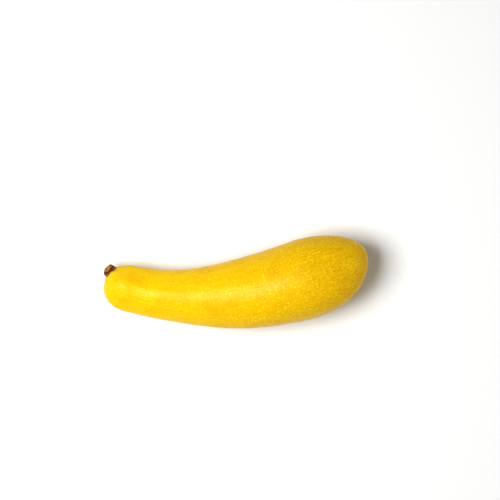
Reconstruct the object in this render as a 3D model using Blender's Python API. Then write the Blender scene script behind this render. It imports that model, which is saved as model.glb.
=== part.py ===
"""A yellow squash lying on its side, with the dry stub of its stem.

Lengths are in metres and +Z is up. The stem end is at -X and the blossom end at +X, and
the fruit bends to the left, towards +Y. The origin is the middle of the narrow flat
strip that it rests on, below its weight.
"""

import math

import bmesh
import bpy
import numpy as np
from mathutils import Vector

MM = 0.001
UP = math.radians(90)

# The line through the middle of the fruit, from its stem end to its blossom end
SPINE_LENGTH = 190.0 * MM
SPINE_HEADING = math.radians(6.7)  # halfway along, from +X towards +Y
SPINE_BEND = math.radians(46.3)  # the turn to the left over the whole length
BLOSSOM_HOOK = math.radians(24.0)  # a turn back to the right, at the blossom end
BLOSSOM_HOOK_LENGTH = 10.5 * MM
SPINE_STEPS = 2000
REST_PLACE = 108.5 * MM  # the place along the line that stands over the origin

# How thick the fruit is along that line
NECK_RADIUS = 15.8 * MM
BULB_RADIUS = 28.25 * MM
WIDENS_FROM = 10.5 * MM
WIDENS_TO = 149.5 * MM
STEM_END_LENGTH = 17.4 * MM
BLOSSOM_END_LENGTH = 48.7 * MM

# Five soft ridges run from the stem and fade along the neck
RIDGES = 5
RIDGE_HEIGHT = 0.45 * MM
RIDGE_FADE = 55.0 * MM
STEM_SWING = 0.6  # how far off the middle they gather, as a share of the neck's radius
STEM_SWING_LENGTH = 15.0 * MM

# Shallow swellings make the skin a little uneven
SWELLING_HEIGHT = 0.22 * MM
SWELLING_PITCH = 74.0 * MM

# The round scar where the flower dropped off
SCAR_RADIUS = 4.2 * MM
SCAR_DEPTH = 0.6 * MM

# How it lies
REST_SINK = 0.4 * MM  # the skin is pressed flat by this much
NECK_LIFT = 1.2 * MM  # the tip of the neck is clear of the surface
NECK_LIFT_LENGTH = 60.0 * MM

# The stem leaves the round end of the neck from a small flat seat
STEM_HEADING = math.radians(135)
STEM_RISE = math.radians(6)
SEAT_DISTANCE = 15.5 * MM  # from the middle of the neck's round end

# The dry stub that the cut left
STUB_GAP = 0.3 * MM
STUB_LENGTH = 4.4 * MM
STUB_BASE_RADIUS = 4.7 * MM
STUB_END_RADIUS = 4.2 * MM
STUB_ANGLE_HEIGHT = 0.07  # how far its five angles stand out, as a share of its radius
STUB_END_SLANT = -0.36  # the knife's cut is oblique and faces up a little

# Mesh fineness
FRUIT_SIDES = 40
FRUIT_RINGS = 56
STUB_SIDES = 30
STUB_CUTS = 3


def ease(share):
    """0 to 1 with a smooth start and end."""
    share = np.clip(share, 0.0, 1.0)
    return share * share * (3.0 - 2.0 * share)


def heading_at(along):
    """The direction of the fruit's line, seen from above."""
    turned = SPINE_BEND * (along / SPINE_LENGTH - 0.5)
    hook = BLOSSOM_HOOK * np.exp((along - SPINE_LENGTH) / BLOSSOM_HOOK_LENGTH)
    return SPINE_HEADING + turned - hook


def walk_spine():
    """Places along the fruit's line, with their x and y, the rest place at the origin."""
    along = np.linspace(0.0, SPINE_LENGTH, SPINE_STEPS)
    step = along[1] - along[0]
    middles = heading_at(along[:-1] + step / 2)
    x = np.concatenate([[0.0], np.cumsum(np.cos(middles) * step)])
    y = np.concatenate([[0.0], np.cumsum(np.sin(middles) * step)])
    x -= np.interp(REST_PLACE, along, x)
    y -= np.interp(REST_PLACE, along, y)
    return along, x, y


SPINE = walk_spine()


def body_radius(along):
    """The radius of the neck, widening to that of the bulb, with no round ends yet."""
    share = (along - WIDENS_FROM) / (WIDENS_TO - WIDENS_FROM)
    return NECK_RADIUS + (BULB_RADIUS - NECK_RADIUS) * ease(share)


def end_factor(along):
    """How the round ends close: 1 along the body, 0 at each tip."""
    to_stem = np.clip(1.0 - along / STEM_END_LENGTH, 0.0, 1.0)
    to_blossom = np.clip(1.0 - (SPINE_LENGTH - along) / BLOSSOM_END_LENGTH, 0.0, 1.0)
    return math.sqrt((1.0 - to_stem**2) * (1.0 - to_blossom**2))


def ridges(along, angle):
    """How far the ridges stand out. They gather at the stem, off the middle of the end."""
    width = end_factor(along)
    swing = STEM_SWING * math.exp(-along / STEM_SWING_LENGTH)
    angle_from_stem = math.atan2(width * math.sin(angle), width * math.cos(angle) - swing)
    fade = math.exp(-((along / RIDGE_FADE) ** 2))
    return RIDGE_HEIGHT * fade * math.cos(RIDGES * (angle_from_stem - UP))


def swellings(along, angle):
    """How far the skin's shallow swellings stand out."""
    wave = math.tau * along / SWELLING_PITCH
    return SWELLING_HEIGHT * (math.sin(wave + 2 * angle) + math.cos(0.6 * wave - angle))


def skin_radius(along, angle):
    """The distance from the fruit's line to its skin."""
    relief = ridges(along, angle) + swellings(along, angle)
    return end_factor(along) * (body_radius(along) + relief)


def spine_point(along):
    """A point on the fruit's line, which runs just high enough for its underside to lie flat."""
    places, x, y = SPINE
    relief = skin_radius(along, -UP) - end_factor(along) * body_radius(along)
    lift = NECK_LIFT * ease(1.0 - along / NECK_LIFT_LENGTH)
    height = body_radius(along) + relief - REST_SINK + lift
    return Vector((np.interp(along, places, x), np.interp(along, places, y), height))


def skin_point(along, angle):
    """A point of the skin, from its place along the fruit and its angle round it."""
    radius = skin_radius(along, angle)
    near_scar = along > SPINE_LENGTH / 2
    place = along - near_scar * SCAR_DEPTH * math.exp(-((radius / SCAR_RADIUS) ** 2))
    heading = heading_at(place)
    left = Vector((-math.sin(heading), math.cos(heading), 0.0))
    sideways = left * radius * math.cos(angle)
    return spine_point(place) + sideways + Vector((0.0, 0.0, radius * math.sin(angle)))


def stem_direction():
    """The way that the stem points, away from the fruit."""
    level = math.cos(STEM_RISE)
    x, y = level * math.cos(STEM_HEADING), level * math.sin(STEM_HEADING)
    return Vector((x, y, math.sin(STEM_RISE)))


def seat_middle():
    """The middle of the flat seat that the stem stands on."""
    return spine_point(STEM_END_LENGTH) + stem_direction() * SEAT_DISTANCE


def linear_colour(code):
    """A hex sRGB colour as the linear values that a shader takes."""
    shares = [int(code[i : i + 2], 16) / 255 for i in (1, 3, 5)]
    return [s / 12.92 if s <= 0.04045 else ((s + 0.055) / 1.055) ** 2.4 for s in shares] + [1.0]


def plain_material(name, colour, roughness):
    """A non-metallic Principled material."""
    material = bpy.data.materials.new(name)
    material.use_nodes = True
    shader = material.node_tree.nodes["Principled BSDF"]
    shader.inputs["Base Color"].default_value = linear_colour(colour)
    shader.inputs["Roughness"].default_value = roughness
    shader.inputs["Metallic"].default_value = 0.0
    return material


def object_from(bm, name, collection, material):
    """A shaded object from a finished bmesh."""
    mesh = bpy.data.meshes.new(name)
    bm.to_mesh(mesh)
    bm.free()
    mesh.shade_smooth()
    mesh.set_sharp_from_angle(angle=math.radians(40))
    mesh.materials.append(material)
    obj = bpy.data.objects.new(name, mesh)
    collection.objects.link(obj)
    return obj


def cut_flat(bm, point, outward):
    """Slices off what lies beyond a plane and closes the cut with one flat face."""
    everything = bm.verts[:] + bm.edges[:] + bm.faces[:]
    bmesh.ops.bisect_plane(
        bm, geom=everything, dist=1e-7, plane_co=point, plane_no=outward, clear_outer=True
    )
    bmesh.ops.holes_fill(bm, edges=[edge for edge in bm.edges if edge.is_boundary], sides=0)


def make_fruit(collection):
    """The whole fruit in one piece: a sphere drawn out along its line, with two small flats."""
    bm = bmesh.new()
    bmesh.ops.create_uvsphere(bm, u_segments=FRUIT_SIDES, v_segments=FRUIT_RINGS, radius=1.0)
    for vertex in bm.verts:
        along = SPINE_LENGTH * (1.0 + vertex.co.z) / 2
        vertex.co = skin_point(along, math.atan2(vertex.co.y, vertex.co.x))
    cut_flat(bm, point=(0.0, 0.0, 0.0), outward=(0.0, 0.0, -1.0))
    cut_flat(bm, point=seat_middle(), outward=stem_direction())
    bmesh.ops.recalc_face_normals(bm, faces=bm.faces)
    return object_from(bm, "fruit", collection, plain_material("yellow_rind", "#F6C50F", 0.38))


def make_stub(collection):
    """The cut stub of the five-angled stem, wider where it joins the fruit."""
    bm = bmesh.new()
    bmesh.ops.create_cone(
        bm, cap_ends=True, segments=STUB_SIDES, radius1=1.0, radius2=1.0, depth=1.0
    )
    upright = [edge for edge in bm.edges if abs(edge.verts[0].co.z - edge.verts[1].co.z) > 0.5]
    bmesh.ops.subdivide_edges(bm, edges=upright, cuts=STUB_CUTS)
    for vertex in bm.verts:
        share = vertex.co.z + 0.5
        angle = math.atan2(vertex.co.y, vertex.co.x)
        angles = 1.0 + STUB_ANGLE_HEIGHT * math.cos(RIDGES * (angle - UP))
        flare = (STUB_BASE_RADIUS - STUB_END_RADIUS) * (1.0 - share) ** 2
        radius = angles * (STUB_END_RADIUS + flare)
        x, y = radius * math.cos(angle), radius * math.sin(angle)
        vertex.co = (x, y, share * (STUB_LENGTH + STUB_END_SLANT * y))
    bmesh.ops.recalc_face_normals(bm, faces=bm.faces)
    stub = object_from(bm, "stem_stub", collection, plain_material("dry_stem", "#A6732B", 0.8))
    stub.location = seat_middle() + stem_direction() * STUB_GAP
    stub.rotation_euler = stem_direction().to_track_quat("Z", "Y").to_euler()
    return stub


def main():
    """Clears the scene and builds the squash."""
    for obj in list(bpy.data.objects):
        bpy.data.objects.remove(obj)
    collection = bpy.data.collections.new("yellow_squash")
    bpy.context.scene.collection.children.link(collection)
    fruit = make_fruit(collection)
    stub = make_stub(collection)
    stub.parent = fruit


main()
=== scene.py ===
"""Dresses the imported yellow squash: its waxy rind, its blossom scar and the dry stub of its stem.

Lengths are in metres and +Z is up. The fruit lies along X with its stem end at -X and bends
to the left, towards +Y. Its main sizes repeat those of the solids that it replaces.
"""

import logging
import math
from collections.abc import Mapping
from dataclasses import dataclass, field
from enum import Enum
from functools import cached_property
from typing import Any

import bpy
import numpy as np
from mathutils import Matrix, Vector


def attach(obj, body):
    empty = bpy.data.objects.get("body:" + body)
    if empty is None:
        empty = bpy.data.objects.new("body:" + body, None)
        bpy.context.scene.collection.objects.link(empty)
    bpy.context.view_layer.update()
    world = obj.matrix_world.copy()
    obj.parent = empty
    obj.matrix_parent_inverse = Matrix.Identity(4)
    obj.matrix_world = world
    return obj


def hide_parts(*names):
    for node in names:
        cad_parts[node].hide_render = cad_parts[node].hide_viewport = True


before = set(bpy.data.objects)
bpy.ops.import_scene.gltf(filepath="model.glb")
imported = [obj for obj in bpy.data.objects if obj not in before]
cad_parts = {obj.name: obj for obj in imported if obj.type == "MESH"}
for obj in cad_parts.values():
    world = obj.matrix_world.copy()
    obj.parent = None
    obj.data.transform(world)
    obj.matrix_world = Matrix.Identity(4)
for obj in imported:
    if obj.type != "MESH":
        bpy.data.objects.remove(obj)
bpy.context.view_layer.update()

LOG = logging.getLogger("yellow_squash")
MM = 0.001
UP = math.radians(90)
FRUIT_LENGTH = 190.0 * MM
STUB_LENGTH = 4.4 * MM
Array = np.ndarray
Piece = bpy.types.Object
Pairs = tuple[tuple[float, float], ...]


class Body(Enum):
    """The moving bodies of the part. The squash has no joint, so it has one."""

    WHOLE = "root"


class Solid(Enum):
    """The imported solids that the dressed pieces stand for."""

    FRUIT = "fruit"
    STEM_STUB = "stem_stub"


class Slot(Enum):
    """The record's material slots."""

    RIND = "yellow_rind"
    STEM = "dry_stem"


class Mark(Enum):
    """The attributes that carry a pattern over a grown surface."""

    GROWN = "grown"
    FLECKS = "fleck_map"
    FROM_STEM = "from_stem"
    FROM_BLOSSOM = "from_blossom"
    UPRIGHT = "upright"
    FURROW = "furrow"
    CUT_FACE = "cut_face"


def linear_colour(code: str) -> tuple[float, float, float, float]:
    """Turns a hex sRGB colour into the linear values that a shader takes.

    Args:
        code: The colour as "#RRGGBB".

    Returns:
        Linear red, green, blue and an alpha of 1.
    """
    shares = [int(code[i : i + 2], 16) / 255 for i in (1, 3, 5)]
    red, green, blue = [
        share / 12.92 if share <= 0.04045 else ((share + 0.055) / 1.055) ** 2.4
        for share in shares
    ]
    return red, green, blue, 1.0


@dataclass
class NodeSheet:
    """A tree of nodes. Outputs that later nodes read are kept on it by name."""

    tree: bpy.types.NodeTree
    kept: dict[str, bpy.types.NodeSocket] = field(default_factory=dict)

    def add(
        self, kind: str, inputs: Mapping[str | int, Any] | None = None, **settings: Any
    ) -> bpy.types.Node:
        """Adds one node with its settings, its fixed inputs and its links.

        Args:
            kind: Its type, such as "ShaderNodeTexNoise".
            inputs: Its inputs by name or number. The name of a kept output or a socket is
                linked, and any other value is set.
            settings: Its own settings by name.

        Returns:
            The new node.
        """
        node = self.tree.nodes.new(kind)
        for name, value in settings.items():
            setattr(node, name, value)
        for name, value in (inputs or {}).items():
            value = self.kept[value] if isinstance(value, str) else value
            if isinstance(value, bpy.types.NodeSocket):
                self.tree.links.new(value, node.inputs[name])
            else:
                node.inputs[name].default_value = value
        return node

    def keep(
        self,
        name: str,
        kind: str,
        inputs: Mapping[str | int, Any] | None = None,
        output: str | int = 0,
        **settings: Any,
    ) -> None:
        """Adds one node, as add does, and keeps one of its outputs under a name."""
        self.kept[name] = self.add(kind, inputs, **settings).outputs[output]


def new_material(name: str) -> tuple[bpy.types.Material, bpy.types.Node]:
    """Makes a material that holds one Principled shader.

    Args:
        name: The name of the real material.

    Returns:
        The material and its shader node.
    """
    material = bpy.data.materials.new(name)
    material.use_nodes = True
    return material, material.node_tree.nodes["Principled BSDF"]


def ease(share: Array) -> Array:
    """Eases shares of a way, from 0 to 1, with a smooth start and end."""
    share = np.clip(share, 0.0, 1.0)
    return share * share * (3.0 - 2.0 * share)


def hump(distance: Array, width: float) -> Array:
    """A smooth bump that is 1 at no distance and fades to 0 over a width."""
    return np.exp(-((distance / width) ** 2))


def deselect_all() -> None:
    """Leaves nothing selected, so that the next operator acts on its own piece."""
    bpy.ops.object.select_all(action="DESELECT")


def read_vertices(piece: Piece, what: str) -> Array:
    """Reads one vector for each vertex of a mesh.

    Args:
        piece: The object, in object mode.
        what: "co" for the vertices' places or "normal" for their normals.

    Returns:
        One row of x, y and z for each vertex.
    """
    flat = np.empty(len(piece.data.vertices) * 3)
    piece.data.vertices.foreach_get(what, flat)
    return flat.reshape(-1, 3)


def move_vertices(piece: Piece, places: Array) -> None:
    """Puts a mesh's vertices at new places, given by a row of x, y and z for each."""
    piece.data.vertices.foreach_set("co", places.astype(np.float32).ravel())
    piece.data.update()


def mark_points(piece: Piece, mark: Mark, values: Array) -> None:
    """Stores one value, or one vector, for each vertex as a point attribute.

    Args:
        piece: The object, in object mode.
        mark: The attribute.
        values: One value or one row of three for each vertex.
    """
    kind, key = ("FLOAT_VECTOR", "vector") if values.ndim == 2 else ("FLOAT", "value")
    attribute = piece.data.attributes.new(mark.value, kind, "POINT")
    attribute.data.foreach_set(key, values.astype(np.float32).ravel())


def start_cage(name: str, **circle: Any) -> Piece:
    """Adds a circle at its place, and goes into edit mode with all of it selected.

    Args:
        name: The new piece's name.
        circle: The circle's settings.

    Returns:
        The new piece, which is the active object.
    """
    deselect_all()
    bpy.ops.mesh.primitive_circle_add(**circle)
    piece = bpy.context.object
    piece.name = name
    bpy.ops.object.transform_apply(location=True, rotation=True, scale=True)
    bpy.ops.object.mode_set(mode="EDIT")
    bpy.ops.mesh.select_all(action="SELECT")
    return piece


def finish_cage() -> None:
    """Turns all faces of the closed mesh in edit mode outwards, and leaves edit mode."""
    bpy.ops.mesh.select_all(action="SELECT")
    bpy.ops.mesh.normals_make_consistent(inside=False)
    bpy.ops.object.mode_set(mode="OBJECT")


def turn_selected(angle: float, centre: Vector) -> None:
    """Turns what is selected round a point, to the left as seen from above."""
    # With no window the operator turns the other way
    bpy.ops.transform.rotate(
        value=-angle, orient_axis="Z", orient_type="GLOBAL", center_override=centre
    )


def scale_selected(factor: float, centre: Vector) -> None:
    """Scales what is selected about a point that stays in its place."""
    bpy.ops.transform.resize(
        value=(factor, factor, factor), orient_type="GLOBAL", center_override=centre
    )


def apply_subdivision(piece: Piece, levels: int) -> None:
    """Adds a Subdivision Surface modifier to the active object and applies it.

    Args:
        piece: The active object, in object mode.
        levels: How often each face is divided.
    """
    bpy.ops.object.modifier_add(type="SUBSURF")
    modifier = piece.modifiers[-1]
    modifier.levels = modifier.render_levels = levels
    bpy.ops.object.modifier_apply(modifier=modifier.name)


def apply_unevenness(piece: Piece, layers: Pairs) -> None:
    """Displaces the active object by layers of soft cloud noise and applies them.

    Args:
        piece: The active object, in object mode.
        layers: The width of each layer's humps, and how far it moves the skin in all,
            from its lowest to its highest place.
    """
    for width, height in layers:
        clouds = bpy.data.textures.new(f"{piece.name}_unevenness", "CLOUDS")
        clouds.noise_scale = width
        clouds.noise_depth = 1
        bpy.ops.object.modifier_add(type="DISPLACE")
        modifier = piece.modifiers[-1]
        modifier.texture = clouds
        modifier.strength = height
        modifier.mid_level = 0.5
        bpy.ops.object.modifier_apply(modifier=modifier.name)


@dataclass(frozen=True)
class WaxyRind:
    """The rind of a ripe summer squash: grown, smooth, with a thin natural wax.

    It gives the eye a deep warm gold under a soft satin gloss. Pale flecks, lengthwise
    growth streaks and low pebbles break it up, and it turns to cork at the blossom scar.
    """

    neck: str = "#F9C300"
    bulb: str = "#E0AD00"
    deep: str = "#CB9000"
    shade: str = "#B87C00"
    pale: str = "#FFD91A"
    fleck: str = "#FFE45C"
    green: str = "#CFBC22"
    scuff: str = "#BC8B34"
    resting: str = "#F5DA6A"
    cork: str = "#CDA45A"
    cork_dark: str = "#8A5E22"
    ior: float = 1.34
    highlight: str = "#FFF3D6"
    roughness: tuple[float, float] = (0.34, 0.46)
    cork_dullness: float = 0.4
    flesh_glow: float = 0.1
    flesh_depth: float = 1.2 * MM
    flesh_reach: tuple[float, float, float] = (1.0, 0.55, 0.08)
    length: float = FRUIT_LENGTH
    mottle_pitch: float = 16.0 * MM
    blotch_pitch: float = 4.5 * MM
    streak_width: float = 2.6 * MM
    dash_width: float = 1.0 * MM
    fleck_pitch: float = 2.5 * MM
    speck_pitch: float = 1.25 * MM
    grain_pitch: float = 0.45 * MM
    cork_width: float = 4.8 * MM
    scratch_width: float = 1.3 * MM
    scratch_turn: tuple[float, float, float] = (0.3, 0.5, 0.6)
    stem_radius: float = 5.3 * MM
    scar_radius: float = 3.1 * MM
    scar_wobble: float = 4.0 * MM
    calm_within: float = 4.0 * MM
    wild_beyond: float = 15.0 * MM
    calm_level: float = 0.45
    fleck_scatter: float = 0.85
    fleck_shrink: float = 0.4
    free_crowding: float = 1.25

    def patterns(self, nodes: NodeSheet) -> None:
        """Builds the patterns that the colours and the relief share.

        Args:
            nodes: The rind's nodes. Distances on them are in metres, and noises run from 0 to 1.
        """
        marks = ((Mark.GROWN, "Vector"), (Mark.FROM_STEM, "Fac"), (Mark.FROM_BLOSSOM, "Fac"))
        for mark, output in marks:
            nodes.keep(mark.value, "ShaderNodeAttribute", output=output, attribute_name=mark.value)
        nodes.keep("place", "ShaderNodeTexCoord", output="Object")
        nodes.keep("along", "ShaderNodeSeparateXYZ", {0: "grown"}, "X")
        nodes.keep("height", "ShaderNodeSeparateXYZ", {0: "place"}, "Z")

        # Each noise: where it lies, its width, how many times longer it is, and how fine
        unturned = (0.0, 0.0, 0.0)
        for name, where, turn, width, stretch, detail, roughness in (
            ("mottle", "place", unturned, self.mottle_pitch, 1.0, 3.0, 0.5),
            ("blotch", "grown", unturned, self.blotch_pitch, 2.0, 2.0, 0.5),
            ("streak", "grown", unturned, self.streak_width, 20.0, 2.0, 0.5),
            ("dash", "grown", unturned, self.dash_width, 2.5, 2.0, 0.5),
            ("grain", "place", unturned, self.grain_pitch, 1.0, 3.0, 0.6),
            ("wobble", "place", unturned, self.scar_wobble, 1.0, 2.0, 0.6),
            ("cork", "grown", unturned, self.cork_width, 1 / 6, 4.0, 0.7),
            ("scratch", "place", self.scratch_turn, self.scratch_width, 25.0, 1.0, 0.5),
        ):
            scale = (1 / (stretch * width), 1 / width, 1 / width)
            at = nodes.add(
                "ShaderNodeMapping", {"Vector": where, "Rotation": turn, "Scale": scale}
            )
            nodes.keep(
                name,
                "ShaderNodeTexNoise",
                {"Vector": at.outputs[0], "Scale": 1.0, "Detail": detail, "Roughness": roughness},
            )

        # Growth lines crowd together at the scar, so the marks on them are calm there
        nodes.keep(
            "calm",
            "ShaderNodeMapRange",
            {"Value": "from_blossom", "From Min": self.calm_within, "From Max": self.wild_beyond},
            interpolation_type="SMOOTHSTEP",
        )
        for name in ("streak", "dash"):
            mix = {0: "calm", 2: self.calm_level, 3: name}
            nodes.keep(name, "ShaderNodeMix", mix, data_type="FLOAT")

        # Round flecks: in rows along the growth lines, and free of them round the scar
        scatter = self.fleck_scatter
        nodes.keep("flat_map", "ShaderNodeUVMap", uv_map=Mark.FLECKS.value)
        nodes.keep("wild", "ShaderNodeMath", {0: 1.0, 1: "calm"}, operation="SUBTRACT")
        for name, pitch in (("fleck", self.fleck_pitch), ("speck", self.speck_pitch)):
            for layout, where, dimensions, crowding, shrinking in (
                ("rows", "flat_map", "2D", 1.0, "wild"),
                ("free", "place", "3D", self.free_crowding, "calm"),
            ):
                spread = {"Vector": where, "Scale": crowding / pitch, "Randomness": scatter}
                cells = nodes.add("ShaderNodeTexVoronoi", spread, voronoi_dimensions=dimensions)
                nodes.kept[f"{layout}_chance"] = cells.outputs["Color"]
                shrunk = {0: shrinking, 1: self.fleck_shrink, 2: cells.outputs["Distance"]}
                nodes.keep(layout, "ShaderNodeMath", shrunk, operation="MULTIPLY_ADD")
            nodes.keep(name, "ShaderNodeMath", {0: "rows", 1: "free"}, operation="MINIMUM")
            for axis in ("X", "Y"):
                nodes.keep(f"{name}_{axis}", "ShaderNodeSeparateXYZ", {0: "rows_chance"}, axis)

    def borders(self, nodes: NodeSheet) -> None:
        """Adds where the marks at the two ends stop, and how the others change along the fruit.

        Args:
            nodes: The rind's nodes.
        """
        # A noise makes a distance's border ragged
        for name, noise, raggedness, distance in (
            ("stem_border", "streak", 3.0 * MM, "from_stem"),
            ("scar_edge", "grain", 1.2 * MM, "from_blossom"),
            ("scar_border", "wobble", 3.6 * MM, "scar_edge"),
        ):
            terms = {0: noise, 1: raggedness, 2: distance}
            nodes.keep(name, "ShaderNodeMath", terms, operation="MULTIPLY_ADD")

        # Each share: its pattern, that pattern's range, and what it goes from and to
        scar, length = self.scar_radius, self.length
        for name, pattern, start, end, first, last, fade in (
            ("scar", "scar_border", 2.0 * scar, 1.7 * scar, 0.0, 1.0, "SMOOTHSTEP"),
            ("crack", "cork", 0.52, 0.34, 0.0, 1.0, "LINEAR"),
            ("ripe", "along", 0.76 * length, length, 0.0, 0.5, "LINEAR"),
            ("young", "along", 0.2 * length, 0.65 * length, 0.5, 0.15, "LINEAR"),
            ("gloss", "mottle", 0.3, 0.7, *self.roughness, "LINEAR"),
            ("brightest", "mottle", 0.42, 0.66, 1.0, 0.6, "LINEAR"),
            ("bright", "fleck_Y", 0.12, 0.9, 0.0, 1.0, "LINEAR"),
            ("fleck_reach", "fleck_X", 0.0, 1.0, 0.14, 0.36, "LINEAR"),
            ("speck_reach", "speck_X", 0.0, 1.0, 0.2, 0.4, "LINEAR"),
        ):
            spans = {"From Min": start, "From Max": end, "To Min": first, "To Max": last}
            nodes.keep(
                name, "ShaderNodeMapRange", {"Value": pattern, **spans}, interpolation_type=fade
            )
        nodes.keep("cork_low", "ShaderNodeMath", {0: "crack", 1: "scar"}, operation="MULTIPLY")
        nodes.keep(
            "fleck_strength", "ShaderNodeMath", {0: "bright", 1: "brightest"}, operation="MULTIPLY"
        )

    def material(self) -> bpy.types.Material:
        """Builds the rind's material.

        Returns:
            The material, which reads the fruit's own attributes and map.
        """
        material, shader = new_material("waxy_squash_rind")
        nodes = NodeSheet(material.node_tree)
        self.patterns(nodes)
        self.borders(nodes)

        # Colours over each other: the pattern, where it starts and is full, and how much
        stem, scar = self.stem_radius, self.scar_radius
        colour: Any = linear_colour(self.neck)
        for pattern, start, full, strength, tint in (
            ("along", 0.1 * self.length, 0.95 * self.length, 1.0, self.bulb),
            ("mottle", 0.42, 0.8, 0.4, self.deep),
            ("blotch", 0.45, 0.75, 0.25, self.deep),
            ("streak", 0.5, 0.75, "young", self.pale),
            ("dash", 0.47, 0.28, "ripe", self.shade),
            ("dash", 0.48, 0.75, 0.4, self.pale),
            ("speck", "speck_reach", 0.05, 0.3, self.fleck),
            ("fleck", "fleck_reach", 0.05, "fleck_strength", self.fleck),
            ("height", 6.0 * MM, 0.5 * MM, 0.5, self.resting),
            ("scratch", 0.745, 0.77, 0.5, self.scuff),
            ("stem_border", 2.6 * stem, 1.3 * stem, 0.55, self.green),
            ("stem_border", 1.6 * stem, 1.35 * stem, 0.8, self.scuff),
            ("scar_border", 3.8 * scar, 1.9 * scar, 0.4, self.green),
            ("scar_border", 2.3 * scar, 1.8 * scar, 0.6, self.cork_dark),
            ("scar", 0.0, 1.0, 0.95, self.cork),
            ("cork_low", 0.0, 1.0, 0.6, self.cork_dark),
        ):
            share = nodes.add(
                "ShaderNodeMapRange",
                {"Value": pattern, "From Min": start, "From Max": full, "To Max": strength},
                interpolation_type="SMOOTHSTEP",
            )
            layers = {0: share.outputs[0], 6: colour, 7: linear_colour(tint)}
            colour = nodes.add("ShaderNodeMix", layers, data_type="RGBA").outputs[2]

        # The relief, in millimetres: each pattern's range and how high it stands
        relief: Any = 0.0
        for pattern, low, high, millimetres in (
            ("fleck", 0.6, 0.0, 0.07),
            ("streak", 0.0, 1.0, 0.05),
            ("dash", 0.0, 1.0, 0.04),
            ("grain", 0.0, 1.0, 0.01),
            ("cork_low", 0.0, 1.0, -0.25),
        ):
            shape = nodes.add(
                "ShaderNodeMapRange",
                {"Value": pattern, "From Min": low, "From Max": high},
                interpolation_type="SMOOTHSTEP",
            )
            raised = {0: shape.outputs[0], 1: millimetres, 2: relief}
            relief = nodes.add("ShaderNodeMath", raised, operation="MULTIPLY_ADD").outputs[0]
        bump = nodes.add("ShaderNodeBump", {"Height": relief, "Distance": 1.0 * MM})
        # Cork is duller than the wax
        duller = {0: "scar", 1: self.cork_dullness, 2: "gloss"}
        rough = nodes.add("ShaderNodeMath", duller, operation="MULTIPLY_ADD")
        nodes.tree.links.new(colour, shader.inputs["Base Color"])
        nodes.tree.links.new(rough.outputs[0], shader.inputs["Roughness"])
        nodes.tree.links.new(bump.outputs[0], shader.inputs["Normal"])
        shader.inputs["IOR"].default_value = self.ior
        shader.inputs["Specular Tint"].default_value = linear_colour(self.highlight)
        shader.inputs["Subsurface Weight"].default_value = self.flesh_glow
        shader.inputs["Subsurface Radius"].default_value = self.flesh_reach
        shader.inputs["Subsurface Scale"].default_value = self.flesh_depth
        return material


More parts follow.
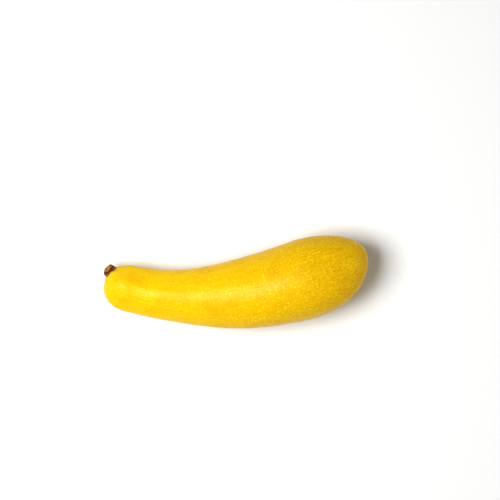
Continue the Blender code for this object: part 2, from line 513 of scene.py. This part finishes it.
@dataclass(frozen=True)
class DriedStem:
    """A cut squash stem, dried: fibrous, corky and dull.

    It gives the eye a dark brown bark with tan angles and nearly black furrows, a bark that darkens
    towards the cut, and on the cut a paler pith with darker sap vessels, all without gloss.
    """

    ridge: str = "#BD8336"
    body: str = "#85531A"
    furrow: str = "#3F2509"
    foot: str = "#C39A22"
    bark_edge: str = "#351E08"
    pith: str = "#966324"
    cut: str = "#C9903F"
    fibre_width: float = 0.4 * MM
    blotch_pitch: float = 2.2 * MM
    raggedness: float = 1.6 * MM
    length: float = STUB_LENGTH
    relief: float = 0.3 * MM
    roughness: tuple[float, float] = (0.9, 0.7)
    fraying: float = 0.9
    vessel_dent: float = 0.4

    def material(self) -> bpy.types.Material:
        """Builds the stem's material.

        Returns:
            The material, which reads the stub's own attributes.
        """
        material, shader = new_material("dried_squash_stem")
        nodes = NodeSheet(material.node_tree)
        marks = ((Mark.UPRIGHT, "Vector"), (Mark.FURROW, "Fac"), (Mark.CUT_FACE, "Fac"))
        for mark, output in marks:
            nodes.keep(mark.value, "ShaderNodeAttribute", output=output, attribute_name=mark.value)
        nodes.keep("height", "ShaderNodeSeparateXYZ", {0: "upright"}, "Z")
        for name, width, squeeze, detail, roughness in (
            ("fibre", self.fibre_width, 0.12, 4.0, 0.65),
            ("blotch", self.blotch_pitch, 1.0, 3.0, 0.5),
        ):
            scale = (1 / width, 1 / width, squeeze / width)
            at = nodes.add("ShaderNodeMapping", {"Vector": "upright", "Scale": scale})
            nodes.keep(
                name,
                "ShaderNodeTexNoise",
                {"Vector": at.outputs[0], "Scale": 1.0, "Detail": detail, "Roughness": roughness},
            )

        # The bark darkens in blotches towards the cut, and the cut's pale inside ends in frayed
        # fibres
        for name, noise, amount, base in (
            ("ragged_height", "blotch", self.raggedness, "height"),
            ("frayed", "fibre", self.fraying, "cut_face"),
        ):
            terms = {0: noise, 1: amount, 2: base}
            nodes.keep(name, "ShaderNodeMath", terms, operation="MULTIPLY_ADD")
        for name, pattern, start, full, most, fade in (
            ("ridge", "fibre", 0.35, 0.7, 1.0, "LINEAR"),
            ("foot", "height", 0.8 * MM, -0.6 * MM, 0.5, "SMOOTHSTEP"),
            ("rim", "ragged_height", 0.6 * self.length, 1.05 * self.length, 0.75, "SMOOTHSTEP"),
            ("on_cut", "frayed", 0.75, 1.15, 1.0, "SMOOTHSTEP"),
        ):
            spans = {"From Min": start, "From Max": full, "To Max": most}
            nodes.keep(
                name, "ShaderNodeMapRange", {"Value": pattern, **spans}, interpolation_type=fade
            )
        for name, one, other in (
            ("dark", "furrow", "blotch"),
            ("corky", "ridge", "on_cut"),
            ("vessel", "furrow", "on_cut"),
        ):
            product = {0: one, 1: other}
            nodes.keep(name, "ShaderNodeMath", product, operation="MULTIPLY", use_clamp=True)

        colour: Any = linear_colour(self.body)
        for share, tint in (
            ("ridge", self.ridge),
            ("dark", self.furrow),
            ("foot", self.foot),
            ("rim", self.bark_edge),
            ("on_cut", self.pith),
            ("corky", self.cut),
            ("vessel", self.furrow),
        ):
            layers = {0: share, 6: colour, 7: linear_colour(tint)}
            colour = nodes.add("ShaderNodeMix", layers, data_type="RGBA").outputs[2]
        dented = {0: "vessel", 1: -self.vessel_dent, 2: "fibre"}
        nodes.keep("relief", "ShaderNodeMath", dented, operation="MULTIPLY_ADD")
        bump = nodes.add("ShaderNodeBump", {"Height": "relief", "Distance": self.relief})
        dull, worn = self.roughness
        rough = nodes.add("ShaderNodeMapRange", {"Value": "fibre", "To Min": dull, "To Max": worn})
        nodes.tree.links.new(colour, shader.inputs["Base Color"])
        nodes.tree.links.new(rough.outputs[0], shader.inputs["Roughness"])
        nodes.tree.links.new(bump.outputs[0], shader.inputs["Normal"])
        return material


@dataclass(frozen=True)
class PaleBackdrop:
    """Matt white seamless paper, which gives soft shadows and no gloss.

    Far from the fruit it is lit from behind, so that it stays pale up to the wall.
    """

    paper: str = "#F4F4F3"
    lit_from: float = 0.3
    fully_lit: float = 1.2
    glow: float = 0.9
    roughness: float = 0.9

    def material(self) -> bpy.types.Material:
        """Builds the backdrop's material.

        Returns:
            The material.
        """
        material, shader = new_material("matt_white_paper")
        nodes = NodeSheet(material.node_tree)
        nodes.keep("place", "ShaderNodeTexCoord", output="Object")
        nodes.keep("distance", "ShaderNodeVectorMath", {0: "place"}, "Value", operation="LENGTH")
        spans = {"From Min": self.lit_from, "From Max": self.fully_lit, "To Max": self.glow}
        glow = nodes.add(
            "ShaderNodeMapRange", {"Value": "distance", **spans}, interpolation_type="SMOOTHSTEP"
        )
        nodes.tree.links.new(glow.outputs[0], shader.inputs["Emission Strength"])
        shader.inputs["Emission Color"].default_value = linear_colour(self.paper)
        shader.inputs["Base Color"].default_value = linear_colour(self.paper)
        shader.inputs["Roughness"].default_value = self.roughness
        return material


@dataclass(frozen=True)
class SkinRing:
    """A low smooth ring on the skin round a middle, raised or sunken."""

    radius: float
    width: float
    height: float

    def rise(self, distance: Array) -> Array:
        """How high the skin stands at distances from the ring's middle."""
        return self.height * hump(distance - self.radius, self.width)


@dataclass(frozen=True)
class FruitLine:
    """The line through the middle of the fruit, seen from above, from its stem end."""

    length: float = FRUIT_LENGTH
    heading: float = math.radians(6.7)
    bend: float = math.radians(46.3)
    blossom_hook: float = math.radians(24.0)
    blossom_hook_length: float = 10.5 * MM
    rest_place: float = 108.5 * MM
    steps: int = 2000

    def heading_at(self, along: Array) -> Array:
        """The line's direction at places along it.

        Args:
            along: Distances from the stem end.

        Returns:
            Angles from +X towards +Y.
        """
        turned = self.bend * (along / self.length - 0.5)
        hook = self.blossom_hook * np.exp((along - self.length) / self.blossom_hook_length)
        return self.heading + turned - hook

    @cached_property
    def walked(self) -> tuple[Array, Array, Array]:
        """Places along the line with their x and y, the rest place at the origin."""
        along = np.linspace(0.0, self.length, self.steps)
        step = along[1] - along[0]
        middles = self.heading_at(along[:-1] + step / 2)
        x = np.concatenate([[0.0], np.cumsum(np.cos(middles) * step)])
        y = np.concatenate([[0.0], np.cumsum(np.sin(middles) * step)])
        x -= np.interp(self.rest_place, along, x)
        y -= np.interp(self.rest_place, along, y)
        return along, x, y

    def level_place(self, along: Array) -> tuple[Array, Array]:
        """The x and the y of places along the line."""
        places, x, y = self.walked
        return np.interp(along, places, x), np.interp(along, places, y)


@dataclass(frozen=True)
class Fruit:
    """The fruit, grown as one piece, from the stem's seat to the blossom scar."""

    line: FruitLine = field(default_factory=FruitLine)
    finish: WaxyRind = field(default_factory=WaxyRind)
    neck_radius: float = 15.8 * MM
    bulb_radius: float = 28.25 * MM
    widens_from: float = 10.5 * MM
    widens_to: float = 149.5 * MM
    stem_end_length: float = 17.4 * MM
    blossom_end_length: float = 48.7 * MM
    ridge_count: int = 5
    ridge_height: float = 0.45 * MM
    ridge_fade: float = 55.0 * MM
    stem_swing: float = 0.6
    stem_swing_length: float = 15.0 * MM
    swelling_height: float = 0.22 * MM
    swelling_pitch: float = 74.0 * MM
    scar_radius: float = 4.2 * MM
    scar_depth: float = 0.6 * MM
    rest_sink: float = 0.4 * MM
    neck_lift: float = 1.2 * MM
    neck_lift_length: float = 60.0 * MM
    stem_heading: float = math.radians(135)
    stem_rise: float = math.radians(6)
    seat_distance: float = 15.5 * MM
    stem_reach: float = 8.0 * MM
    collar: SkinRing = SkinRing(5.6 * MM, 2.2 * MM, 0.4 * MM)
    collar_lobes: float = 0.3
    moat: SkinRing = SkinRing(10.0 * MM, 2.5 * MM, -0.2 * MM)
    scar_lip: SkinRing = SkinRing(3.9 * MM, 0.7 * MM, 0.14 * MM)
    scar_nub: SkinRing = SkinRing(0.0, 0.9 * MM, 0.3 * MM)
    scar_pleats: SkinRing = SkinRing(5.5 * MM, 2.2 * MM, 0.07 * MM)
    scar_cracks: SkinRing = SkinRing(2.3 * MM, 1.2 * MM, 0.06 * MM)
    unevenness: Pairs = ((19.0 * MM, 0.35 * MM), (7.0 * MM, 0.14 * MM))
    straight_growth: float = 10.0 * MM
    growth_turn: float = 40.0 * MM
    growth_steps: int = 1000
    sides: int = 64
    rings: int = 80
    levels: int = 2

    def body_radius(self, along: Array) -> Array:
        """The radius of the neck, widening to that of the bulb, with no round ends yet."""
        share = (along - self.widens_from) / (self.widens_to - self.widens_from)
        return self.neck_radius + (self.bulb_radius - self.neck_radius) * ease(share)

    def end_factor(self, along: Array) -> Array:
        """How the round ends close: 1 along the body, 0 at each tip.

        Args:
            along: Distances from the stem end.

        Returns:
            Factors for the radius.
        """
        to_stem = np.clip(1.0 - along / self.stem_end_length, 0.0, 1.0)
        from_tip = self.line.length - along
        to_blossom = np.clip(1.0 - from_tip / self.blossom_end_length, 0.0, 1.0)
        return np.sqrt((1.0 - to_stem**2) * (1.0 - to_blossom**2))

    def angle_from_stem(self, along: Array, angle: Array) -> Array:
        """The angle round the fruit, gathered at the stem, which stands off the middle.

        Args:
            along: Distances from the stem end.
            angle: Angles round the line, from its left over the top.

        Returns:
            Angles that growth lines follow.
        """
        width = self.end_factor(along)
        swing = self.stem_swing * np.exp(-along / self.stem_swing_length)
        return np.arctan2(width * np.sin(angle), width * np.cos(angle) - swing)

    def skin_radius(self, along: Array, angle: Array) -> Array:
        """The distance from the fruit's line to its skin, with ridges and swellings.

        Args:
            along: Distances from the stem end.
            angle: Angles round the line.

        Returns:
            Radii.
        """
        fade = np.exp(-((along / self.ridge_fade) ** 2))
        turn = self.ridge_count * (self.angle_from_stem(along, angle) - UP)
        ridges = self.ridge_height * fade * np.cos(turn)
        wave = math.tau * along / self.swelling_pitch
        swellings = self.swelling_height * (np.sin(wave + 2 * angle) + np.cos(0.6 * wave - angle))
        return self.end_factor(along) * (self.body_radius(along) + ridges + swellings)

    def middle(self, along: Array) -> Array:
        """Points on the fruit's line, just high enough for its underside to lie flat.

        Args:
            along: Distances from the stem end.

        Returns:
            One row of x, y and z for each place.
        """
        relief = self.skin_radius(along, -UP) - self.end_factor(along) * self.body_radius(along)
        lift = self.neck_lift * ease(1.0 - along / self.neck_lift_length)
        height = self.body_radius(along) + relief - self.rest_sink + lift
        return np.stack([*self.line.level_place(along), height], axis=-1)

    def skin_point(self, along: Array, angle: Array) -> Array:
        """Points of the skin.

        Args:
            along: Distances from the stem end.
            angle: Angles round the line.

        Returns:
            One row of x, y and z for each point.
        """
        radius = self.skin_radius(along, angle)
        dish = self.scar_depth * hump(radius, self.scar_radius)
        place = along - np.where(along > self.line.length / 2, dish, 0.0)
        heading = self.line.heading_at(place)
        sideways, rise = radius * np.cos(angle), radius * np.sin(angle)
        offset = [-np.sin(heading) * sideways, np.cos(heading) * sideways, rise]
        return self.middle(place) + np.stack(offset, axis=-1)

    def ring_place(self, ring: Array) -> Array:
        """How far along the fruit the rings of the cage stand, closer together at the ends."""
        return self.line.length * (1.0 - np.cos(math.pi * ring / self.rings)) / 2

    @cached_property
    def stem_direction(self) -> Vector:
        """The way that the stem points, away from the fruit."""
        level = math.cos(self.stem_rise)
        x, y = level * math.cos(self.stem_heading), level * math.sin(self.stem_heading)
        return Vector((x, y, math.sin(self.stem_rise)))

    @cached_property
    def seat_middle(self) -> Vector:
        """The middle of the seat that the stem stands on."""
        end_middle = Vector(self.middle(np.array(self.stem_end_length)))
        return end_middle + self.stem_direction * self.seat_distance

    def loft(self) -> Piece:
        """Extrudes a circle ring by ring along the fruit and closes both tips.

        Returns:
            The cage, with the number of each vertex's ring as an attribute.
        """
        rings = np.arange(self.rings + 1)
        along = self.ring_place(rings)
        middles = [Vector(place) for place in self.middle(along)]
        headings = self.line.heading_at(along)
        radii = self.end_factor(along) * self.body_radius(along)
        fruit = start_cage(
            "whole_fruit",
            vertices=self.sides,
            radius=radii[1],
            location=middles[1],
            rotation=(UP, 0.0, UP + headings[1]),
        )
        for ring in range(2, self.rings):
            step = middles[ring] - middles[ring - 1]
            bpy.ops.mesh.extrude_region_move(TRANSFORM_OT_translate={"value": step})
            turn_selected(headings[ring] - headings[ring - 1], middles[ring])
            scale_selected(radii[ring] / radii[ring - 1], middles[ring])
        self.close_tip(middles[-1] - middles[-2])
        # The only border that is still open is the first ring
        bpy.ops.mesh.select_all(action="DESELECT")
        bpy.ops.mesh.select_non_manifold(
            use_wire=False, use_multi_face=False, use_non_contiguous=False, use_verts=False
        )
        self.close_tip(middles[0] - middles[1])
        finish_cage()
        # Rings are extruded in order, and the two tips come last
        number = 1.0 + np.arange(len(fruit.data.vertices)) // self.sides
        number[-2:] = self.rings, 0.0
        attribute = fruit.data.attributes.new("ring", "FLOAT", "POINT")
        attribute.data.foreach_set("value", number.astype(np.float32))
        return fruit

    def close_tip(self, step: Vector) -> None:
        """Draws the selected ring together into one vertex, a step from its middle."""
        bpy.ops.mesh.extrude_region_move(TRANSFORM_OT_translate={"value": step})
        bpy.ops.mesh.merge(type="CENTER")

    def stem_places(self, places: Array) -> tuple[Array, Array, Array]:
        """Where points are in the stem's own frame.

        Args:
            places: One row of x, y and z for each point.

        Returns:
            Distances from the stem's axis, heights above its seat and angles round it.
        """
        axis = np.array(self.stem_direction)
        turn = self.stem_direction.to_track_quat("Z", "Y")
        right, up = (np.array(turn @ Vector(way)) for way in ((1, 0, 0), (0, 1, 0)))
        offset = places - np.array(self.seat_middle)
        across, upward = offset @ right, offset @ up
        return np.hypot(across, upward), offset @ axis, np.arctan2(upward, across)

    def from_tip(self, places: Array) -> Array:
        """Distances of points from the blossom tip."""
        tip = self.middle(np.array(self.line.length))
        return np.linalg.norm(places - tip, axis=1)

    def build(self) -> Piece:
        """Models the fruit.

        Returns:
            The finished mesh, undressed.
        """
        fruit = self.loft()
        apply_subdivision(fruit, self.levels)
        ring = np.empty(len(fruit.data.vertices))
        fruit.data.attributes["ring"].data.foreach_get("value", ring)
        fruit.data.attributes.remove(fruit.data.attributes["ring"])
        along = self.ring_place(ring)
        heading = self.line.heading_at(along)
        offset = read_vertices(fruit, "co") - self.middle(along)
        sideways = offset[:, 1] * np.cos(heading) - offset[:, 0] * np.sin(heading)
        angle = np.arctan2(offset[:, 2], sideways)
        move_vertices(fruit, self.skin_point(along, angle))
        self.shape_skin(fruit, angle)
        self.mark_growth(fruit, along, angle)
        bpy.ops.object.shade_smooth()
        return fruit

    def shape_skin(self, fruit: Piece, angle: Array) -> None:
        """Works the smaller relief into the skin, and settles the fruit on its flat strip.

        Args:
            fruit: The active object, at the shape of the plain fruit.
            angle: Each vertex's angle round the line.
        """
        apply_unevenness(fruit, self.unevenness)
        places, normals = read_vertices(fruit, "co"), read_vertices(fruit, "normal")
        from_axis, above_seat, round_stem = self.stem_places(places)
        lobes = 1.0 + self.collar_lobes * np.cos(self.ridge_count * (round_stem - UP))
        lift = self.collar.rise(from_axis) * lobes + self.moat.rise(from_axis)
        lift = np.where(above_seat > -self.stem_reach, lift, 0.0)
        places = places + normals * lift[:, None]

        # Round the scar the skin is puckered in uneven pleats, and its cork is cracked
        from_tip = self.from_tip(places)
        pleats = np.cos(11 * angle + 2.0 * np.sin(2 * angle)) * self.scar_pleats.rise(from_tip)
        cracks = np.cos(19 * angle + 1.5 * np.sin(5 * angle)) * self.scar_cracks.rise(from_tip)
        lift = self.scar_lip.rise(from_tip) + self.scar_nub.rise(from_tip) + pleats + cracks
        places = places + normals * lift[:, None]
        places[:, 2] = np.maximum(places[:, 2], 0.0)
        move_vertices(fruit, places)

    def mark_growth(self, fruit: Piece, along: Array, angle: Array) -> None:
        """Stores how the skin grew, for the rind: growth lines and distances from both ends.

        Args:
            fruit: The finished mesh.
            along: Each vertex's distance along the line.
            angle: Each vertex's angle round the line.
        """
        places = read_vertices(fruit, "co")
        gathered = self.angle_from_stem(along, angle)
        from_axis, above_seat, _ = self.stem_places(places)
        # A metre stands for far from the stem
        from_stem = np.where(above_seat > -self.stem_reach, from_axis, 1.0)
        mark_points(fruit, Mark.FROM_STEM, from_stem)
        mark_points(fruit, Mark.FROM_BLOSSOM, self.from_tip(places))

        # Distance over the skin from the stem: straight from the seat at first, then by the line
        walked = np.linspace(0.0, self.line.length, self.growth_steps)
        radius = self.end_factor(walked) * self.body_radius(walked)
        over_skin = np.concatenate([[0.0], np.cumsum(np.hypot(np.diff(walked), np.diff(radius)))])
        from_seat = np.linalg.norm(places - np.array(self.seat_middle), axis=1)
        share = ease((along - self.straight_growth) / self.growth_turn)
        skin_length = np.interp(along, walked, over_skin)
        grown_length = from_seat + (skin_length - from_seat) * share
        round_line = self.bulb_radius * np.array([np.cos(gathered), np.sin(gathered)])
        mark_points(fruit, Mark.GROWN, np.stack([grown_length, *round_line], axis=-1))

        # The flecks' flat map, cut open along the underside
        girth = math.tau * self.bulb_radius
        round_it = np.mod(gathered + UP, math.tau) * self.bulb_radius
        corners = np.empty(len(fruit.data.loops), dtype=np.int32)
        fruit.data.loops.foreach_get("vertex_index", corners)
        quads = corners.reshape(-1, 4)
        across = round_it[quads]
        over_cut = np.ptp(across, axis=1) > girth / 2
        across[over_cut] += np.where(across[over_cut] < girth / 2, girth, 0.0)
        flat = np.stack([grown_length[quads], across], axis=-1)
        fleck_map = fruit.data.uv_layers.new(name=Mark.FLECKS.value)
        fleck_map.uv.foreach_set("vector", flat.astype(np.float32).ravel())

    def dress(self, fruit: Piece) -> None:
        """Gives the fruit its rind and its place in the part.

        Args:
            fruit: The finished mesh.
        """
        fruit.data.materials.clear()
        fruit.data.materials.append(self.finish.material())
        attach(fruit, Body.WHOLE.value)
        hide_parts(Solid.FRUIT.value)


@dataclass(frozen=True)
class StemStub:
    """The stub of the five-angled stem that the knife left on the fruit."""

    fruit: Fruit
    finish: DriedStem = field(default_factory=DriedStem)
    gap: float = 0.3 * MM
    length: float = STUB_LENGTH
    end_slant: float = -0.36
    twist: float = 0.25
    # How far the angles stand out, how much more at the root, and the ribs, by the radius
    angle_share: float = 0.07
    root_angle_share: float = 0.06
    rib_share: float = 0.022
    face_radius: float = 3.2 * MM
    face_border: float = 0.7 * MM
    bundle_count: int = 13
    bundle_radius: float = 2.0 * MM
    bundle_width: float = 0.28 * MM
    bundle_depth: float = 0.12 * MM
    pit_width: float = 0.45 * MM
    sides: int = 40
    levels: int = 2
    # Height above the seat and radius, from the root in the fruit up to the cut
    profile: Pairs = (
        (-1.9 * MM, 6.9 * MM),
        (-0.9 * MM, 6.2 * MM),
        (-0.1 * MM, 5.4 * MM),
        (0.7 * MM, 4.85 * MM),
        (1.6 * MM, 4.6 * MM),
        (2.6 * MM, 4.5 * MM),
        (3.5 * MM, 4.4 * MM),
        (4.1 * MM, 4.05 * MM),
        (4.35 * MM, 3.5 * MM),
    )
    # Insets of the cut face: how far in, and how far up or down
    cut_insets: Pairs = (
        (0.25 * MM, -0.08 * MM),
        (0.3 * MM, -0.35 * MM),
        (0.55 * MM, 0.05 * MM),
        (0.6 * MM, 0.1 * MM),
        (0.55 * MM, -0.2 * MM),
        (0.35 * MM, -0.6 * MM),
    )
    unevenness: Pairs = ((2.6 * MM, 0.35 * MM), (0.9 * MM, 0.12 * MM))

    def raise_stub(self) -> Piece:
        """Extrudes the stub upright at the origin, with its cut face inset.

        Returns:
            The cage.
        """
        height, radius = self.profile[0]
        foot = (0.0, 0.0, height)
        stub = start_cage(
            "cut_stem", vertices=self.sides, radius=radius, fill_type="NGON", location=foot
        )
        for new_height, new_radius in self.profile[1:]:
            step = (0.0, 0.0, new_height - height)
            bpy.ops.mesh.extrude_region_move(TRANSFORM_OT_translate={"value": step})
            scale_selected(new_radius / radius, Vector((0.0, 0.0, new_height)))
            height, radius = new_height, new_radius
        for inward, rise in self.cut_insets:
            bpy.ops.mesh.inset(thickness=inward, depth=rise)
        bpy.ops.mesh.poke()
        finish_cage()
        return stub

    def vessels(self, radius: Array, angle: Array) -> Array:
        """The uneven ring of sap vessels on the cut.

        Args:
            radius: Distances from the stem's axis.
            angle: Angles round it.

        Returns:
            How strongly a vessel shows, about 0 between vessels and 1 in one.
        """
        swayed = angle + 0.25 * np.sin(3 * angle + 1.0) + 0.15 * np.sin(7 * angle)
        bundles = 0.4 + 0.4 * np.cos(self.bundle_count * swayed) + 0.2 * np.sin(5 * angle)
        ring_radius = self.bundle_radius * (1.0 + 0.08 * np.sin(4 * angle))
        return bundles * hump(radius - ring_radius, self.bundle_width)

    def shape(self, stub: Piece) -> None:
        """Gives the plain upright stub its angles, its oblique cut and its marks.

        Args:
            stub: The active object, in object mode.
        """
        places = read_vertices(stub, "co")
        share = places[:, 2] / self.length
        radius = np.hypot(places[:, 0], places[:, 1])
        mark_points(stub, Mark.UPRIGHT, places)

        # Five angles that stand out most at the foot, with finer ribs between them
        angle = np.arctan2(places[:, 1], places[:, 0]) + self.twist * share
        turn = self.fruit.ridge_count * (angle - UP)
        five = np.cos(turn) + 0.2 * np.cos(2 * turn)
        # The cut's pale inside is rounder than the stem
        inside = self.face_radius * (1.0 - 0.06 * five + 0.03 * np.sin(3 * angle))
        on_face = ease((inside - radius) / self.face_border + 0.3)
        on_face = on_face * (places[:, 2] > self.length / 2)
        mark_points(stub, Mark.CUT_FACE, on_face)
        ribs = np.cos(3 * turn + 1.3 * np.sin(angle)) * (1.0 - 0.5 * on_face)
        standing_out = self.angle_share + self.root_angle_share * ease(1.0 - share)
        # Dark between the angles, and on the cut in the sap vessels and a small middle pit
        vessels = self.vessels(radius, angle)
        on_side = 0.75 - 0.6 * five - 0.3 * ribs
        on_cut = 0.5 * vessels + 0.6 * hump(radius, self.pit_width)
        mark_points(stub, Mark.FURROW, on_side + (on_cut - on_side) * on_face)
        places[:, :2] *= (1.0 + standing_out * five + self.rib_share * ribs)[:, None]
        places[:, 2] += self.end_slant * places[:, 1] * np.clip(share, 0.0, 1.0)
        places[:, 2] -= self.bundle_depth * vessels * on_face
        move_vertices(stub, places)

    def build(self) -> Piece:
        """Models the stub.

        Returns:
            The finished mesh, undressed, in its place on the fruit.
        """
        stub = self.raise_stub()
        apply_subdivision(stub, self.levels)
        self.shape(stub)
        apply_unevenness(stub, self.unevenness)
        direction = self.fruit.stem_direction
        stub.location = self.fruit.seat_middle + direction * self.gap
        stub.rotation_euler = direction.to_track_quat("Z", "Y").to_euler()
        bpy.ops.object.transform_apply(location=True, rotation=True, scale=True)
        bpy.ops.object.shade_smooth()
        return stub

    def dress(self, stub: Piece) -> None:
        """Gives the stub its finish and its place in the part.

        Args:
            stub: The finished mesh.
        """
        stub.data.materials.clear()
        stub.data.materials.append(self.finish.material())
        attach(stub, Body.WHOLE.value)
        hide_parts(Solid.STEM_STUB.value)


@dataclass(frozen=True)
class Lamp:
    """A square soft light that points at the fruit."""

    name: str
    place: tuple[float, float, float]
    size: float
    watts: float

    def build(self) -> None:
        """Adds the light."""
        bpy.ops.object.light_add(type="AREA", location=self.place)
        lamp = bpy.context.object
        lamp.name = self.name
        lamp.data.shape = "SQUARE"
        lamp.data.size = self.size
        lamp.data.energy = self.watts
        lamp.rotation_euler = (-Vector(self.place)).to_track_quat("-Z", "Y").to_euler()
        lamp.visible_camera = False


@dataclass(frozen=True)
class Studio:
    """A pale floor, soft lights and the camera, which looks straight down from far above."""

    backdrop: PaleBackdrop = field(default_factory=PaleBackdrop)
    view_middle: tuple[float, float] = (-4.73 * MM, 28.92 * MM)
    view_height: float = 1.775
    view_reach: float = 50.0
    lens: float = 180.0
    sensor: float = 36.0
    floor_size: float = 8.0
    floor_drop: float = 0.05 * MM
    sky: str = "#FFFFFF"
    sky_strength: float = 0.14
    wall_strength: float = 0.95
    lamps: tuple[Lamp, ...] = (
        Lamp("key_softbox", (-0.5, -0.02, 1.05), 0.55, 15.8),
        Lamp("fill_softbox", (0.5, -0.4, 0.9), 0.8, 1.0),
        Lamp("low_fill_softbox", (0.85, 0.15, 0.3), 0.5, 1.2),
    )
    # The print's contrast: how bright a tone is, and how bright it is shown
    tones: Pairs = (
        (0.0, 0.0),
        (0.02, 0.006),
        (0.06, 0.022),
        (0.13, 0.085),
        (0.35, 0.335),
        (1.0, 1.0),
    )

    def build_floor(self) -> None:
        """Adds the floor, a sheet of paper just under the fruit."""
        deselect_all()
        bpy.ops.mesh.primitive_plane_add(
            size=self.floor_size, location=(0.0, 0.0, -self.floor_drop)
        )
        floor = bpy.context.object
        floor.name = "paper_floor"
        floor.data.materials.append(self.backdrop.material())

    def build_light(self) -> None:
        """Adds the lights and the pale surroundings."""
        for lamp in self.lamps:
            lamp.build()
        world = bpy.data.worlds.new("pale_surroundings")
        world.use_nodes = True
        background = world.node_tree.nodes["Background"]
        background.inputs["Color"].default_value = linear_colour(self.sky)
        # The wall behind the floor looks as pale as the floor, and lights the fruit softly
        nodes = NodeSheet(world.node_tree)
        nodes.keep("seen", "ShaderNodeLightPath", output="Is Camera Ray")
        strength = nodes.add(
            "ShaderNodeMapRange",
            {"Value": "seen", "To Min": self.sky_strength, "To Max": self.wall_strength},
        )
        nodes.tree.links.new(strength.outputs[0], background.inputs["Strength"])
        bpy.context.scene.world = world

    def build_print(self) -> None:
        """Adds the contrast of a printed photograph."""
        scene = bpy.context.scene
        scene.view_settings.view_transform = "Standard"
        scene.use_nodes = True
        nodes = NodeSheet(scene.node_tree)
        nodes.tree.nodes.clear()
        nodes.keep("picture", "CompositorNodeRLayers", output="Image")
        contrast = nodes.add("CompositorNodeCurveRGB", {"Image": "picture"})
        curve = contrast.mapping.curves[3]
        curve.points[0].location, curve.points[1].location = self.tones[0], self.tones[-1]
        for tone in self.tones[1:-1]:
            curve.points.new(*tone)
        contrast.mapping.update()
        nodes.add("CompositorNodeComposite", {"Image": contrast.outputs["Image"]})

    def build_camera(self) -> None:
        """Adds the camera at the photograph's place."""
        place = (*self.view_middle, self.view_height)
        bpy.ops.object.camera_add(location=place, rotation=(0.0, 0.0, 0.0))
        camera = bpy.context.object
        camera.name = "overhead_camera"
        camera.data.lens = self.lens
        camera.data.sensor_width = self.sensor
        camera.data.clip_end = self.view_reach
        bpy.context.scene.camera = camera

    def build(self) -> None:
        """Sets up the whole studio."""
        self.build_floor()
        self.build_light()
        self.build_camera()
        self.build_print()


def main() -> None:
    """Builds and dresses each piece in order, then sets up the studio."""
    logging.basicConfig(level=logging.INFO, format="%(name)s: %(message)s")
    fruit = Fruit()
    stub = StemStub(fruit)
    for part in (fruit, stub):
        piece = part.build()
        part.dress(piece)
        LOG.info("%s: %d faces", piece.name, len(piece.data.polygons))
    Studio().build()
    LOG.info("studio: ready")


if __name__ == "__main__":
    main()
